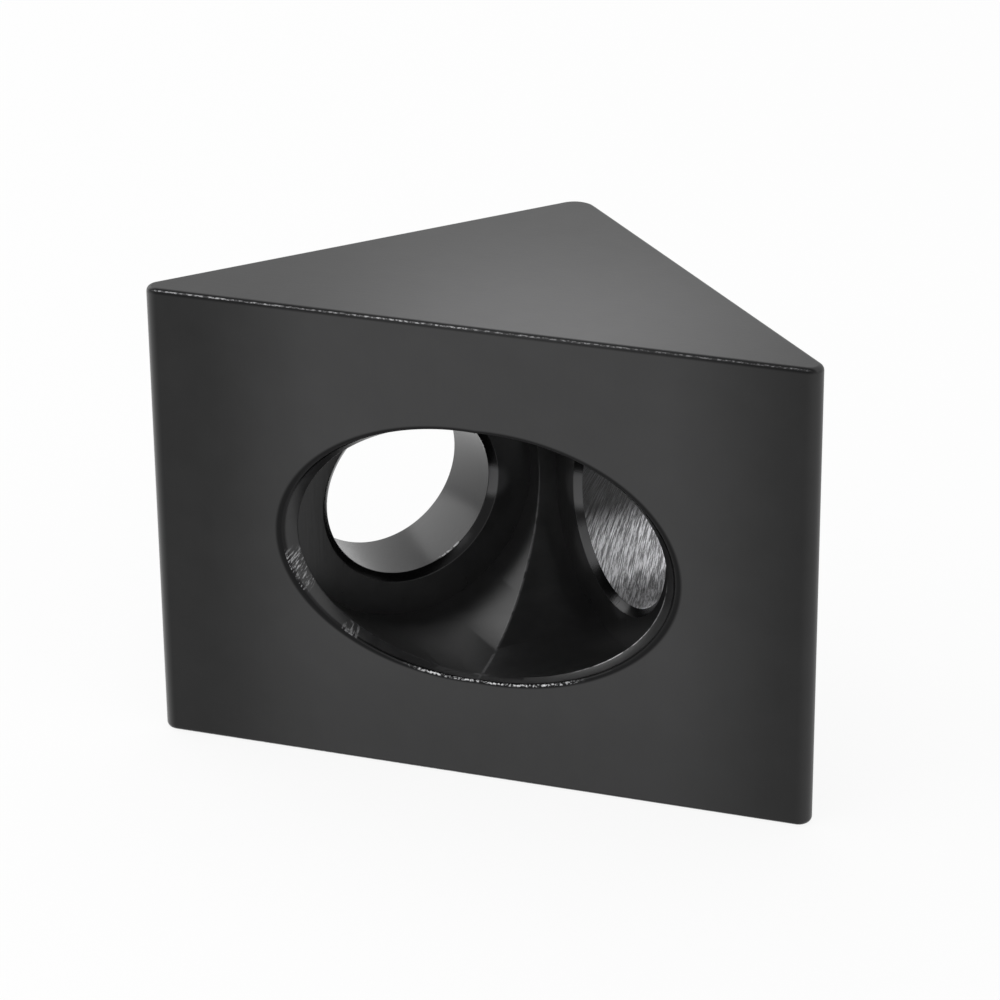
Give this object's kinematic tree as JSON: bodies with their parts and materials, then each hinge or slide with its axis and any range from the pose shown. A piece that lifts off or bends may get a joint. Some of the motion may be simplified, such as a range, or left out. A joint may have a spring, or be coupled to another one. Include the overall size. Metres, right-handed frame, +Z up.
{
  "type": "t slot corner bracket",
  "caption": "Solid wedge that joins two t slot profiles at a right angle, with crossing counterbored screw holes that open through its sloping face.",
  "frame": {"origin": "middle of the base that the bracket stands on, under the point where the two hole axes cross", "axes": "+X and +Y out of the two leg faces, +Z up along the bar that the bracket is sawn from"},
  "size_m": [0.02, 0.02, 0.02],
  "materials": {
    "anodised_aluminium": "satin black anodised, with a finer sawn grain on the two ends and bright worn edges"
  },
  "bodies": {
    "root": {"bracket": "anodised_aluminium"}
  },
  "joints": []
}
